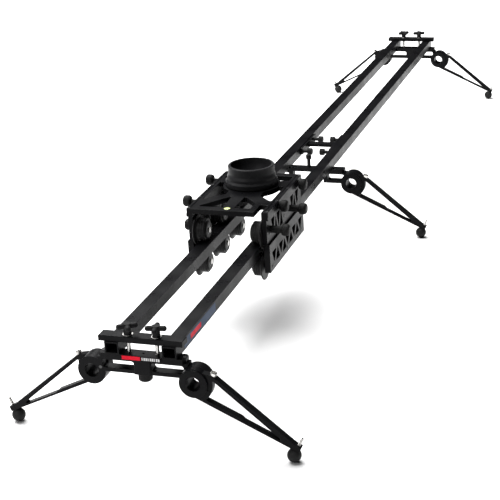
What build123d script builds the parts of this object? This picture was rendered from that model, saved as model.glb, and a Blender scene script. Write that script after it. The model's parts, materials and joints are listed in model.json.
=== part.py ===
from build123d import *
import math
import os

os.makedirs("parts", exist_ok=True)

# A two-rail camera slider.  +X runs along the rails, +Y is the left side, +Z is up, and the
# origin is on the floor under the middle of the rails.  Sizes are in millimetres.

# Rails
rail_length = 1417.0          # one of the two segments of a rail
rail_centre_y = 60.0          # half of the gauge, rail centre to rail centre
rail_width = 30.0
rail_height = 26.0
rail_wall = 3.0
rail_underside = 192.5
rail_seam = 0.4               # line where the two segments butt

# Clearances
running_gap = 0.05            # radial, a shaft that turns in a hole
fixed_gap = 0.02              # radial, a shaft that is held in a hole
body_gap = 0.3                # between faces of pieces that move past each other

# Brackets
web_thickness = 22.0
flange_depth = 28.0
flange_thickness = 10.0
hub_radius = 30.0
sleeve_radius = 18.0
sleeve_bore_radius = 15.0
cap_radius = 29.0             # disc that keeps a leg on its sleeve
cap_thickness = 3.5
strut_bottom = 151.5
strut_height = 8.0
slot_corner = 6.0
slot_roof = 5.0               # web left between a slot and the flange
end_hub_y = 110.0
end_flange_half = 91.0
end_bracket_inset = 16.0      # bracket centre to rail end
block_half = 18.0
label_half = 42.0
label_proud = 1.5
centre_bracket_x = -152.0
centre_hub_y = 128.0
centre_flange_half = 104.0
centre_drop = 7.5             # the centre bracket hangs this much lower than an end bracket
centre_block_inner = 44.0
centre_block_width = 12.0

# Legs and feet
leg_thickness = 15.0
leg_reach = 193.5             # hub to ball, outwards
leg_drop = 136.0              # hub to ball, downwards
leg_arm = 7.0
leg_arm_thin = 4.2            # lower arm beyond its step
leg_step = 0.46               # place of the step along the lower arm
leg_tip = 0.86                # where the two arms close
leg_corner = 1.8
foot_lean = 25.0              # degrees from vertical
ball_radius = 14.5
ball_flat = 12.5              # ball centre to its flat top
foot_pad_near = 13.5          # ball centre to the near face of the leg's foot pad
foot_pad_thickness = 11.0
foot_pad_half = 6.5
foot_screw_radius = 3.0
foot_screw_length = 42.0
split_width = 1.2
split_angle = -22.0

# Clamp bars and their star knobs
clamp_bar_half = 88.0
clamp_bar_depth = 27.0
clamp_bar_thickness = 12.0
clamp_bolt_y = 30.0
clamp_bolt_radius = 4.0
washer_radius = 10.5
washer_thickness = 1.5
star_hub_radius = 8.0
star_hub_height = 22.0
star_arm_reach = 22.0
star_arm_radius = 5.5
star_crown = 0.5              # hub above its arms

# Round knobs
bracket_knob_radius = 14.0
bracket_knob_height = 17.0
truck_knob_radius = 13.5
truck_knob_length = 20.0
lower_knob_radius = 13.5
stud_radius = 3.0

# Joint between the rail segments
splice_length = 160.0
splice_gap = 0.2
joint_plate_front = -76.0
joint_plate_rear = 80.0
joint_plate_thickness = 6.0
joint_plate_height = 20.0
joint_plate_bottom = 196.0
crossbar_x = 0.0              # flat bar between the two joint plates
crossbar_width = 26.0
crossbar_bottom = 203.0
crossbar_height = 8.0
joint_knob_x = (-70.0, 55.0)
joint_knob_radius = 9.5
joint_knob_length = 14.0
joint_knob_reach = 14.0       # collar between a plate and the knob's head
joint_collar_radius = 5.0
joint_screw_x = (-51.0, 40.0)
joint_screw_radius = 2.5
joint_screw_head_radius = 4.5
post_radius = 5.0
post_top = 222.0
post_knob_radius = 7.5
post_knob_height = 14.0

# Carriage
carriage_x = -725.0
platform_half_length = 146.0
platform_half_width = 99.0
platform_thickness = 12.0
platform_top = 303.0
side_bar = 16.0
end_bar = 22.0
ring_radius = 70.0
ring_bore_radius = 42.0
groove_width = 3.0
groove_depth = 1.5
plate_inner_y = 84.0
plate_thickness = 11.0
lower_plate_inner_y = 86.0
lower_plate_thickness = 14.0
split_line = 224.0
split_gap = 1.0
upper_rim = 16.0              # solid above and below the upper openings, taken together
upper_truss_pitch = 22.0
lower_rim = 15.0              # solid below the lower openings
lower_band = 22.4             # solid above the lower openings
lower_truss_pitch = 28.0
truss_spread = 0.62           # half of an opening's base, as a share of the pitch
truss_corner = 2.5
lower_plate_bottom = 155.5
side_bar_drop = 8.0           # side bars of the platform, below its plate
wheel_pitch = 124.0
upper_tread_radius = 27.0
upper_flange_radius = 36.5
lower_tread_radius = 26.0
lower_flange_radius = 35.0
wheel_outer_y = 82.0
flange_width = 5.0
wheel_inner_y = 53.0
wheel_hub_radius = 20.0
wheel_hub_length = 5.0
tread_groove = 1.0
axle_radius = 4.0
axle_head_radius = 6.5
bearing_radius = 11.0
bearing_recess = 2.0

# Bowl and bubble level
bowl_offset = 53.0            # bowl centre behind the carriage centre
bowl_rim_z = 354.0
bowl_seat_radius = 50.0
bowl_seat_length = 13.0
bowl_rim_radius = 56.5
bowl_flange_radius = 63.5
bowl_flange_height = 15.0
bowl_waist_radius = 59.5      # where the wall meets the slope above the flange
bowl_hole_radius = 30.0
bowl_floor_height = 9.0
level_radius = 9.0
level_height = 8.0
level_inset = 15.0

rail_top = rail_underside + rail_height
hub_height = ball_radius + leg_drop
end_bracket_x = rail_length - end_bracket_inset
leg_plane = web_thickness / 2 + body_gap + leg_thickness / 2
bar_top = rail_top + clamp_bar_thickness
platform_bottom = platform_top - platform_thickness
plate_outer_y = plate_inner_y + plate_thickness
lower_plate_outer_y = lower_plate_inner_y + lower_plate_thickness
side_plate_top = platform_bottom - side_bar_drop
upper_axle_z = rail_top + body_gap + upper_tread_radius
lower_axle_z = rail_underside - body_gap - lower_tread_radius
bowl_x = carriage_x + bowl_offset
lean = math.radians(foot_lean)
sides = {"left": 1, "right": -1}


def side_plane(x, y, z, side):
    """Upright plane through a point; its x runs outwards to one side and its y runs up."""
    return Plane(origin=(x, y, z), x_dir=(0, side, 0), z_dir=(side, 0, 0))


def upright_plane(x, y):
    """Plane through a vertical axis; its x runs along the rails and its y runs up."""
    return Plane(origin=(x, y, 0), x_dir=(1, 0, 0), z_dir=(0, -1, 0))


def face_plane(y, side):
    """Plane that faces one side at a given y; its x runs along the rails and its y runs up."""
    return Plane(origin=(0, y, 0), x_dir=(side, 0, 0), z_dir=(0, -1, 0) if side > 0 else (0, 1, 0))


def across(x, y, z, side):
    """Plane square to an axis that runs across the slider, facing outwards."""
    return Plane(origin=(x, y, z), x_dir=(1, 0, 0), z_dir=(0, side, 0))


def round_bar(plane, radius, length, mode):
    """Round bar along a plane's normal, added to or cut from the part being built."""
    end = Align.MIN if length > 0 else Align.MAX
    with Locations(plane):
        Cylinder(radius, abs(length), align=(Align.CENTER, Align.CENTER, end), mode=mode)


def bored(plane, radius, length):
    """Cut a round hole of a given length from a plane into the part being built."""
    round_bar(plane, radius, length, Mode.SUBTRACT)


def pinned(plane, radius, length):
    """Add a round bar of a given length from a plane to the part being built."""
    round_bar(plane, radius, length, Mode.ADD)


def round_edges(part, radius):
    """Circular edges of a part that have one radius."""
    return part.edges().filter_by(GeomType.CIRCLE).filter_by(lambda edge: abs(edge.radius - radius) < 1e-3)


# ------------------------------------------------------------------ rails and their joint

rail_middle_z = rail_underside + rail_height / 2
rail_outer_y = rail_centre_y + rail_width / 2
rail_inner_y = rail_centre_y - rail_width / 2
splice_width = rail_width - 2 * rail_wall - 2 * splice_gap
splice_height = rail_height - 2 * rail_wall - 2 * splice_gap

for side_name, side in sides.items():
    with BuildPart() as rail:
        for start in (-rail_length, rail_seam / 2):
            with BuildSketch(Plane.YZ.offset(start)):
                with Locations((side * rail_centre_y, rail_middle_z)):
                    Rectangle(rail_width, rail_height)
                    Rectangle(rail_width - 2 * rail_wall, rail_height - 2 * rail_wall, mode=Mode.SUBTRACT)
            extrude(amount=rail_length - rail_seam / 2)
        for x in joint_screw_x:
            bored(across(x, side * (rail_outer_y - rail_wall), rail_middle_z, side),
                  joint_screw_head_radius + fixed_gap, rail_wall)
        for x in joint_knob_x:
            bored(across(x, side * rail_inner_y, rail_middle_z, side), stud_radius + fixed_gap, rail_wall)
    rail.part.label = f"rail_{side_name}"
    export_step(rail.part, f"parts/{rail.part.label}.step")

with BuildPart() as rail_splices:
    for side in sides.values():
        with BuildSketch(Plane.YZ.offset(-splice_length / 2)):
            with Locations((side * rail_centre_y, rail_middle_z)):
                Rectangle(splice_width, splice_height)
        extrude(amount=splice_length)
        for x in joint_screw_x:
            bored(across(x, side * rail_centre_y, rail_middle_z, side),
                  joint_screw_radius + fixed_gap, rail_width)
        for x in joint_knob_x:
            bored(across(x, side * rail_centre_y, rail_middle_z, -side), stud_radius + fixed_gap, rail_width)
rail_splices.part.label = "rail_splices"
export_step(rail_splices.part, "parts/rail_splices.step")

with BuildPart() as joint_screws:
    for side in sides.values():
        for x in joint_screw_x:
            start = across(x, side * rail_centre_y, rail_middle_z, side)
            pinned(start, joint_screw_radius, rail_width / 2)
            pinned(start.offset(rail_width / 2 - rail_wall), joint_screw_head_radius, rail_wall)
            with BuildSketch(start.offset(rail_width / 2)):
                RegularPolygon(joint_screw_radius, 6)
            extrude(amount=-rail_wall / 2, mode=Mode.SUBTRACT)
joint_screws.part.label = "joint_screws"
export_step(joint_screws.part, "parts/joint_screws.step")

joint_plate_length = joint_plate_rear - joint_plate_front
joint_plate_inner_y = rail_inner_y - joint_plate_thickness

with BuildPart() as joint_bridge:
    for side in sides.values():
        with BuildSketch(Plane.XY.offset(joint_plate_bottom)):
            with Locations(((joint_plate_front + joint_plate_rear) / 2,
                            side * (rail_inner_y - joint_plate_thickness / 2))):
                Rectangle(joint_plate_length, joint_plate_thickness)
        extrude(amount=joint_plate_height)
    fillet(joint_bridge.edges().filter_by(Axis.Y), joint_plate_height / 4)
    with BuildSketch(Plane.XY.offset(crossbar_bottom)):
        with Locations((crossbar_x, 0)):
            Rectangle(crossbar_width, 2 * joint_plate_inner_y)
    extrude(amount=crossbar_height)
    for side in sides.values():
        for x in joint_knob_x:
            bored(across(x, side * joint_plate_inner_y, rail_middle_z, side),
                  stud_radius + fixed_gap, joint_plate_thickness)
joint_bridge.part.label = "joint_bridge"
export_step(joint_bridge.part, "parts/joint_bridge.step")

with BuildPart() as joint_knobs:
    for side in sides.values():
        for x in joint_knob_x:
            face = across(x, side * joint_plate_inner_y, rail_middle_z, -side)
            pinned(face, joint_collar_radius, joint_knob_reach)
            pinned(face.offset(joint_knob_reach), joint_knob_radius, joint_knob_length)
            pinned(face.offset(-rail_width / 2 - joint_plate_thickness + rail_wall), stud_radius,
                   rail_width / 2 + joint_plate_thickness - rail_wall)
    fillet(round_edges(joint_knobs, joint_knob_radius), joint_knob_radius / 6)
joint_knobs.part.label = "joint_knobs"
export_step(joint_knobs.part, "parts/joint_knobs.step")

# ------------------------------------------------------------------ brackets


def hub_pair(hub_y, radius):
    """Two circles, one at each hub, in a sketch that looks along the rails."""
    with Locations((hub_y, hub_height), (-hub_y, hub_height)):
        Circle(radius)


def bracket_hubs(x, hub_y):
    """Sleeves on the hubs, each through the leg on its own face and capped, with bores through."""
    half = web_thickness / 2
    sleeve_length = leg_thickness + 2 * body_gap
    whole_length = sleeve_length + cap_thickness
    for side in sides.values():
        face = Plane(origin=(x + side * half, side * hub_y, hub_height), z_dir=(side, 0, 0))
        pinned(face, sleeve_radius, sleeve_length)
        pinned(face.offset(sleeve_length), cap_radius, cap_thickness)
        bored(face.offset(whole_length), sleeve_bore_radius, -whole_length - web_thickness)


def top_flange(x, half_width, top):
    """Flat top plate of a bracket with cut corners."""
    with BuildSketch(Plane.XY.offset(top - flange_thickness)) as outline:
        with Locations((x, 0)):
            Rectangle(flange_depth, 2 * half_width)
        chamfer(outline.vertices(), flange_depth / 5)
    extrude(outline.sketch, amount=flange_thickness)


def slots(x, inner, outer, bottom, top):
    """Long openings through the web, one each side of its middle."""
    with BuildSketch(Plane.YZ.offset(x)) as openings:
        for side in sides.values():
            with Locations((side * (inner + outer) / 2, (bottom + top) / 2)):
                RectangleRounded(outer - inner, top - bottom, slot_corner)
    extrude(openings.sketch, amount=web_thickness, both=True, mode=Mode.SUBTRACT)


def end_bracket(end):
    """Bracket under the rail ends: web with two hubs, slots, centre block and top flange."""
    x = end * end_bracket_x
    flange_bottom = rail_underside - flange_thickness
    with BuildPart() as bracket:
        with BuildSketch(Plane.YZ.offset(x)):
            hub_pair(end_hub_y, hub_radius)
            with Locations((0, (strut_bottom + flange_bottom) / 2)):
                Rectangle(2 * end_hub_y - hub_radius, flange_bottom - strut_bottom)
        extrude(amount=web_thickness / 2, both=True)
        slots(x, block_half, end_hub_y - hub_radius * 0.8, strut_bottom + strut_height,
              flange_bottom - slot_roof)
        top_flange(x, end_flange_half, rail_underside)
        with BuildSketch(Plane.XY.offset(strut_bottom)):
            with Locations((x, 0)):
                RectangleRounded(flange_depth, 2 * block_half, 3)
        extrude(amount=flange_bottom - strut_bottom)
        with BuildSketch(Plane.YZ.offset(x + end * flange_depth / 2)):
            with Locations((0, rail_underside - flange_thickness / 2)):
                RectangleRounded(2 * label_half, flange_thickness, flange_thickness / 3)
        extrude(amount=end * label_proud)
        bracket_hubs(x, end_hub_y)
        bored(Plane((x, 0, strut_bottom)), stud_radius + running_gap, rail_underside - strut_bottom)
        for side in sides.values():
            bored(Plane((x, side * clamp_bolt_y, rail_underside)), clamp_bolt_radius + fixed_gap,
                  -flange_thickness)
    return bracket.part


def centre_bracket():
    """Bracket under the rail joint: two blocks with hubs, tied by the top flange alone."""
    x = centre_bracket_x
    top = rail_underside - centre_drop
    flange_bottom = top - flange_thickness
    low = strut_bottom - centre_drop
    block_outer = centre_block_inner + centre_block_width
    with BuildPart() as bracket:
        with BuildSketch(Plane.YZ.offset(x)):
            hub_pair(centre_hub_y, hub_radius)
            for side in sides.values():
                with Locations((side * (centre_block_inner + centre_hub_y) / 2, (low + flange_bottom) / 2)):
                    Rectangle(centre_hub_y - centre_block_inner, flange_bottom - low)
        extrude(amount=web_thickness / 2, both=True)
        slots(x, block_outer, centre_hub_y - hub_radius * 0.8, low + strut_height,
              flange_bottom - slot_roof)
        top_flange(x, centre_flange_half, top)
        bracket_hubs(x, centre_hub_y)
        bored(Plane((x, 0, top)), post_radius + fixed_gap, -flange_thickness)
    return bracket.part


brackets = {
    "end_bracket_front": end_bracket(-1),
    "end_bracket_rear": end_bracket(1),
    "centre_bracket": centre_bracket(),
}
for name, bracket in brackets.items():
    bracket.label = name
    export_step(bracket, f"parts/{name}.step")

post_bottom = rail_underside - centre_drop - flange_thickness

with BuildPart() as centre_post:
    pinned(Plane((centre_bracket_x, 0, post_bottom)), post_radius, post_top - post_bottom)
    pinned(Plane((centre_bracket_x, 0, post_top - post_knob_height)), post_knob_radius, post_knob_height)
    fillet(round_edges(centre_post, post_knob_radius), post_knob_height / 6)
centre_post.part.label = "centre_post"
export_step(centre_post.part, "parts/centre_post.step")

# ------------------------------------------------------------------ clamp bars and star knobs

ends = {"front": -1, "rear": 1}
star_base = bar_top + washer_thickness + body_gap
star_arm_z = star_base + star_hub_height - star_arm_radius - star_crown

for end_name, end in ends.items():
    with BuildPart() as clamp_bar:
        with BuildSketch(Plane.XY.offset(rail_top)):
            with Locations((end * end_bracket_x, 0)):
                Rectangle(clamp_bar_depth, 2 * clamp_bar_half)
        extrude(amount=clamp_bar_thickness)
        chamfer(clamp_bar.edges().group_by(Axis.Z)[-1], 1)
        for side in sides.values():
            bored(Plane((end * end_bracket_x, side * clamp_bolt_y, rail_top)),
                  clamp_bolt_radius + fixed_gap, clamp_bar_thickness)
    clamp_bar.part.label = f"clamp_bar_{end_name}"
    export_step(clamp_bar.part, f"parts/{clamp_bar.part.label}.step")

with BuildPart() as clamp_bolts:
    for end in ends.values():
        for side in sides.values():
            foot = Plane((end * end_bracket_x, side * clamp_bolt_y, rail_underside - flange_thickness))
            pinned(foot, clamp_bolt_radius, star_base + star_hub_height * 0.7 - foot.origin.Z)
            with BuildSketch(Plane(foot.origin + Vector(0, 0, bar_top - foot.origin.Z))):
                Circle(washer_radius)
                Circle(clamp_bolt_radius + fixed_gap, mode=Mode.SUBTRACT)
            extrude(amount=washer_thickness)
clamp_bolts.part.label = "clamp_bolts"
export_step(clamp_bolts.part, "parts/clamp_bolts.step")


def star_knob(x, y, turn):
    """Four-armed knob that runs on a clamp bolt."""
    with BuildPart() as knob:
        pinned(Plane((x, y, star_base)), star_hub_radius, star_hub_height)
        for arm in range(4):
            angle = math.radians(turn + 90 * arm)
            outward = Vector(math.cos(angle), math.sin(angle), 0)
            start = Vector(x, y, star_arm_z) + outward * star_hub_radius / 2
            straight = star_arm_reach - star_arm_radius - star_hub_radius / 2
            pinned(Plane(start, z_dir=outward), star_arm_radius, straight)
            with Locations(Plane(start + outward * straight, z_dir=outward)):
                Sphere(star_arm_radius)
        bored(Plane((x, y, star_base)), clamp_bolt_radius + running_gap, star_hub_height * 0.8)
    return knob.part


star_turns = {"front_left": 28, "front_right": 10, "rear_left": 40, "rear_right": 15}
for name, turn in star_turns.items():
    end_name, side_name = name.split("_")
    knob = star_knob(ends[end_name] * end_bracket_x, sides[side_name] * clamp_bolt_y, turn)
    knob.label = f"star_knob_{name}"
    export_step(knob, f"parts/{knob.label}.step")

for end_name, end in ends.items():
    with BuildPart() as bracket_knob:
        top = Plane((end * end_bracket_x, 0, strut_bottom - body_gap))
        pinned(top, bracket_knob_radius, -bracket_knob_height)
        fillet(bracket_knob.edges().filter_by(GeomType.CIRCLE).group_by(Axis.Z)[0], bracket_knob_height / 3)
        pinned(top, stud_radius, rail_underside - strut_bottom - flange_thickness)
    bracket_knob.part.label = f"bracket_knob_{end_name}"
    export_step(bracket_knob.part, f"parts/{bracket_knob.part.label}.step")

# ------------------------------------------------------------------ legs and feet

along_foot = Vector(math.sin(lean), math.cos(lean))
across_foot = Vector(math.cos(lean), -math.sin(lean))
ball = Vector(leg_reach, -leg_drop)
leg_ring = hub_radius


def foot_point(along, sideways):
    """Point near the foot, measured from the ball along the foot screw and square to it."""
    return ball + along_foot * along + across_foot * sideways


def leg_side(side, x, y):
    """Mid-plane of a leg, with its origin at the hub and its x pointing outwards."""
    return side_plane(x, y, hub_height, side)


def make_leg(side, x, y):
    """Leg: split clamping ring, two arms that close on a foot pad, and a threaded foot hole."""
    plane = leg_side(side, x, y)
    pad_far = foot_pad_near + foot_pad_thickness
    pad_low = foot_point(foot_pad_near, -foot_pad_half)
    pad_high = foot_point(pad_far, foot_pad_half)
    ear = Vector(leg_ring * 1.28, leg_ring * 0.66)
    high_start = Vector(ear.X + leg_arm, ear.Y - leg_arm * 0.8)
    root_low = Vector(0, -leg_ring)
    with BuildPart() as leg:
        with BuildSketch(plane):
            Circle(leg_ring)
            with BuildLine():
                Polyline(root_low, Vector(0, leg_ring * 0.9), ear, high_start,
                         foot_point(pad_far, -foot_pad_half), pad_high,
                         foot_point(foot_pad_near, foot_pad_half), pad_low, close=True)
            make_face()
        extrude(amount=leg_thickness / 2, both=True)
        with BuildSketch(plane):
            high_run = (foot_point(pad_far, -foot_pad_half) - high_start).normalized()
            low_run = (pad_low - root_low).normalized()
            low_length = (pad_low - root_low).length
            high_in = Vector(high_run.Y, -high_run.X) * leg_arm
            low_in = Vector(-low_run.Y, low_run.X)
            low_step = root_low + low_run * low_length * leg_step
            low_tip = root_low + low_run * low_length * leg_tip
            with BuildLine():
                Polyline(high_start + high_in - high_run * leg_ring,
                         low_tip + low_in * (leg_arm_thin + 4),
                         low_tip + low_in * leg_arm_thin,
                         low_step + low_in * leg_arm_thin + low_run * leg_arm,
                         low_step + low_in * leg_arm,
                         root_low + low_in * leg_arm, close=True)
            make_face()
            Circle(leg_ring * 1.3, mode=Mode.SUBTRACT)
            fillet(vertices(), leg_corner)
        extrude(amount=leg_thickness, both=True, mode=Mode.SUBTRACT)
        bored(plane.offset(-leg_thickness), sleeve_radius + running_gap, 2 * leg_thickness)
        with BuildSketch(plane):
            with Locations(Location((0, 0, 0), (0, 0, split_angle))):
                with Locations((leg_ring, 0)):
                    Rectangle(leg_ring * 1.2, split_width)
        extrude(amount=leg_thickness, both=True, mode=Mode.SUBTRACT)
        hole_start = foot_point(pad_far, 0)
        hole_world = plane.from_local_coords(hole_start)
        down = plane.from_local_coords(ball) - hole_world
        bored(Plane(hole_world, z_dir=down), foot_screw_radius + running_gap, foot_pad_thickness)
    return leg.part


def make_foot(side, x, y):
    """Ball foot with a flat top, and its screw, which leans outwards through the leg's foot pad."""
    plane = leg_side(side, x, y)
    centre = plane.from_local_coords(ball)
    up = plane.from_local_coords(foot_point(1, 0)) - centre
    screw_hole = ball_radius / 2
    upward = Plane(centre, z_dir=up)
    with BuildPart() as foot:
        with Locations(upward):
            Sphere(ball_radius)
        bored(upward.offset(ball_flat), ball_radius, ball_radius)
        bored(upward.offset(-screw_hole - fixed_gap), foot_screw_radius + fixed_gap, ball_radius * 2)
        pinned(upward.offset(-screw_hole), foot_screw_radius, foot_screw_length + screw_hole)
    return foot.part


stations = {
    "front": (-end_bracket_x, end_hub_y),
    "centre": (centre_bracket_x, centre_hub_y),
    "rear": (end_bracket_x, end_hub_y),
}
for station, (bracket_x, hub_y) in stations.items():
    for side_name, side in sides.items():
        place = (side, bracket_x + side * leg_plane, side * hub_y)
        leg = make_leg(*place)
        leg.label = f"leg_{station}_{side_name}"
        export_step(leg, f"parts/{leg.label}.step")
        foot = make_foot(*place)
        foot.label = f"foot_{station}_{side_name}"
        export_step(foot, f"parts/{foot.label}.step")

# ------------------------------------------------------------------ carriage

wheel_places = {
    "front": carriage_x - wheel_pitch,
    "middle": carriage_x,
    "rear": carriage_x + wheel_pitch,
}
upper_knob_x = {"front": carriage_x - 50.0, "rear": carriage_x + 115.0}
lower_knob_x = {"front": carriage_x - 110.0, "rear": carriage_x + 40.0}
upper_knob_z = platform_bottom - 3.0
lower_knob_z = 251.0
knob_reach = {
    ("upper", "left"): 21.0,
    ("upper", "right"): 1.0,
    ("lower", "left"): 1.0,
    ("lower", "right"): 24.5,
}
knob_stud = 10.0


def carriage_opening(*corners):
    """Opening through the platform, given by corners measured from the carriage centre."""
    with BuildSketch(Plane.XY.offset(platform_bottom)) as opening:
        with BuildLine():
            Polyline(*[(carriage_x + x, y) for x, y in corners], close=True)
        make_face()
        fillet(opening.vertices(), 3)
        with Locations((bowl_x, 0)):
            Circle(ring_radius, mode=Mode.SUBTRACT)
    extrude(opening.sketch, amount=platform_thickness, mode=Mode.SUBTRACT)


inner_side = platform_half_width - side_bar
inner_end = platform_half_length - end_bar

with BuildPart() as platform:
    with BuildSketch(Plane.XY.offset(platform_bottom)):
        with Locations((carriage_x, 0)):
            RectangleRounded(2 * platform_half_length, 2 * platform_half_width, 3)
    extrude(amount=platform_thickness)
    with BuildSketch(Plane.XY.offset(side_plate_top)):
        for side in sides.values():
            with Locations((carriage_x, side * (platform_half_width - side_bar / 2))):
                Rectangle(2 * platform_half_length, side_bar)
    extrude(amount=side_bar_drop)
    carriage_opening((-inner_end, inner_side - 6), (-42, 20), (-inner_end, 16))
    carriage_opening((-76, inner_side), (58, inner_side), (58, 40), (-30, 40))
    carriage_opening((-inner_end, -12), (-40, -12), (-84, -50), (-inner_end, -50))
    notch_end = -platform_half_length - 9
    carriage_opening((notch_end, -66), (-95, -66), (-95, -inner_side), (notch_end, -inner_side))
    carriage_opening((-66, -inner_side), (-30, -46), (46, -46), (46, -inner_side))
    for side in sides.values():
        carriage_opening((92, side * inner_side), (inner_end, side * inner_side),
                         (inner_end, side * 32), (80, side * 32))
        with BuildSketch(Plane.XY.offset(platform_top)):
            with Locations((carriage_x, side * (platform_half_width - side_bar / 2))):
                SlotOverall(2 * platform_half_length - side_bar, groove_width)
        extrude(amount=-groove_depth, mode=Mode.SUBTRACT)
        for x in upper_knob_x.values():
            bored(across(x, side * platform_half_width, upper_knob_z, -side),
                  stud_radius + running_gap, knob_stud)
    bored(Plane((bowl_x, 0, platform_bottom)), ring_bore_radius, platform_thickness)
    bored(Plane((carriage_x - platform_half_length + level_inset, 3, platform_top)),
          level_radius + fixed_gap, -level_height)
    chamfer(platform.edges().group_by(Axis.Z)[-1].filter_by(GeomType.LINE), 0.6)
platform.part.label = "platform"
export_step(platform.part, "parts/platform.step")

with BuildPart() as bowl:
    with BuildSketch(upright_plane(bowl_x, 0)):
        with BuildLine():
            floor = platform_top + bowl_floor_height
            seat_bottom = bowl_rim_z - bowl_seat_length
            Polyline((bowl_hole_radius, floor), (bowl_hole_radius, platform_top),
                     (bowl_flange_radius - 3, platform_top), (bowl_flange_radius, platform_top + 3),
                     (bowl_flange_radius, platform_top + bowl_flange_height - 2),
                     (bowl_waist_radius, platform_top + bowl_flange_height + 3),
                     (bowl_waist_radius, platform_top + bowl_flange_height + 9),
                     (bowl_rim_radius, platform_top + bowl_flange_height + 16),
                     (bowl_rim_radius, bowl_rim_z - 1.5), (bowl_rim_radius - 1.5, bowl_rim_z),
                     (bowl_seat_radius, bowl_rim_z), (bowl_seat_radius, seat_bottom))
            ThreePointArc((bowl_seat_radius, seat_bottom),
                          (bowl_seat_radius * 0.87, (seat_bottom + floor) / 2 - 3),
                          (bowl_hole_radius, floor))
        make_face()
    revolve(axis=Axis((bowl_x, 0, 0), (0, 0, 1)))
bowl.part.label = "bowl"
export_step(bowl.part, "parts/bowl.step")

with BuildPart() as bubble_level:
    level_place = Plane((carriage_x - platform_half_length + level_inset, 3, platform_top))
    pinned(level_place, level_radius, -level_height)
    with BuildSketch(level_place):
        Circle(level_radius - 1)
    extrude(amount=1, taper=30)
bubble_level.part.label = "bubble_level"
export_step(bubble_level.part, "parts/bubble_level.step")


def truss(side, bottom, top, count, pitch, middle):
    """Slanted three-cornered openings through a side plate, every second one upside down."""
    height = top - bottom
    depth = lower_plate_outer_y - plate_inner_y
    with BuildSketch(face_plane(side * plate_inner_y, side)) as openings:
        for i in range(count):
            centre = side * (middle + (i - (count - 1) / 2) * pitch)
            flip = 1 if i % 2 else -1
            half = pitch * truss_spread
            tip = top if flip > 0 else bottom
            base = bottom if flip > 0 else top
            with BuildLine():
                Polyline((centre - half, base), (centre + half, base), (centre, tip), close=True)
            make_face()
        fillet(openings.vertices(), min(truss_corner, height / 10))
    extrude(openings.sketch, amount=depth + 1, both=True, mode=Mode.SUBTRACT)


def side_plate(side, inner_y, thickness, bottom, top):
    """Plain side plate of the carriage, from one height to another."""
    with BuildSketch(Plane.XY.offset(bottom)) as outline:
        with Locations((carriage_x, side * (inner_y + thickness / 2))):
            Rectangle(2 * platform_half_length, thickness)
    extrude(outline.sketch, amount=top - bottom)


split_bottom = split_line - split_gap / 2
split_top = split_line + split_gap / 2

with BuildPart() as upper_side_plates:
    for side_name, side in sides.items():
        side_plate(side, plate_inner_y, plate_thickness, split_top, side_plate_top)
        for count, middle in ((4, carriage_x - wheel_pitch / 2), (3, carriage_x + wheel_pitch * 0.7)):
            truss(side, split_top + upper_rim / 2, side_plate_top - upper_rim / 2, count,
                  upper_truss_pitch, middle)
        for x in wheel_places.values():
            bored(across(x, side * plate_inner_y, upper_axle_z, side),
                  axle_radius + fixed_gap, plate_thickness)
        for x in lower_knob_x.values():
            bored(across(x, side * plate_inner_y, lower_knob_z, side),
                  stud_radius + running_gap, plate_thickness)
upper_side_plates.part.label = "upper_side_plates"
export_step(upper_side_plates.part, "parts/upper_side_plates.step")

for side_name, side in sides.items():
    with BuildPart() as lower_plate:
        side_plate(side, lower_plate_inner_y, lower_plate_thickness, lower_plate_bottom, split_bottom)
        truss(side, lower_plate_bottom + lower_rim, split_bottom - lower_band, 9,
              lower_truss_pitch, carriage_x)
        for x in wheel_places.values():
            bored(across(x, side * lower_plate_inner_y, lower_axle_z, side),
                  axle_radius + fixed_gap, lower_plate_thickness)
    lower_plate.part.label = f"lower_side_plate_{side_name}"
    export_step(lower_plate.part, f"parts/{lower_plate.part.label}.step")


def axle(x, z, seat_y, outer_y, side):
    """Axle bolt through a side plate, with a spacer collar and a round head inside the wheel."""
    head = across(x, side * (wheel_inner_y - body_gap), z, -side)
    pinned(head, axle_head_radius, axle_radius / 2)
    pinned(head, axle_radius, -(outer_y - wheel_inner_y + body_gap))
    collar = across(x, side * seat_y, z, -side)
    pinned(collar, axle_head_radius, seat_y - wheel_outer_y - body_gap)


with BuildPart() as upper_axles:
    for side in sides.values():
        for x in wheel_places.values():
            axle(x, upper_axle_z, plate_inner_y, plate_outer_y, side)
upper_axles.part.label = "upper_axles"
export_step(upper_axles.part, "parts/upper_axles.step")

for side_name, side in sides.items():
    with BuildPart() as lower_axles:
        for x in wheel_places.values():
            axle(x, lower_axle_z, lower_plate_inner_y, lower_plate_outer_y, side)
    lower_axles.part.label = f"lower_axles_{side_name}"
    export_step(lower_axles.part, f"parts/{lower_axles.part.label}.step")


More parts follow.
